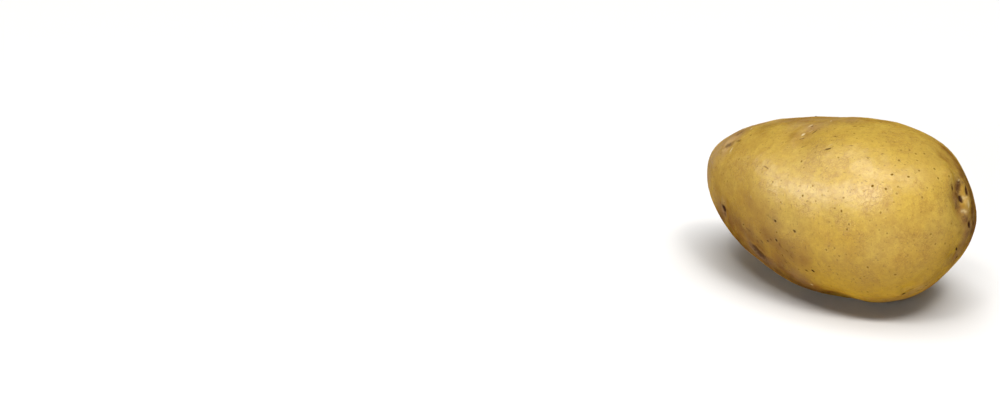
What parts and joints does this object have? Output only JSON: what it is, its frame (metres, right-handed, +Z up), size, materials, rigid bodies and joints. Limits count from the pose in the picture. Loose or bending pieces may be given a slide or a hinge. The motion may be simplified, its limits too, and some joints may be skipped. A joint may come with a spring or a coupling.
{
  "type": "potato",
  "caption": "Whole fresh potato with smooth yellow skin: an egg-shaped tuber with shallow eyes that crowd at its thicker end, lying on a small flat spot.",
  "frame": {"origin": "on the surface that the potato lies on, under the middle of its bounding box", "axes": "+X along the potato's long axis, from the stem end to the thicker bud end; +Z up as it lies"},
  "size_m": [0.1094, 0.0662, 0.0659],
  "materials": {
    "potato_skin": "satin"
  },
  "bodies": {
    "root": {"potato": "potato_skin"}
  },
  "joints": []
}
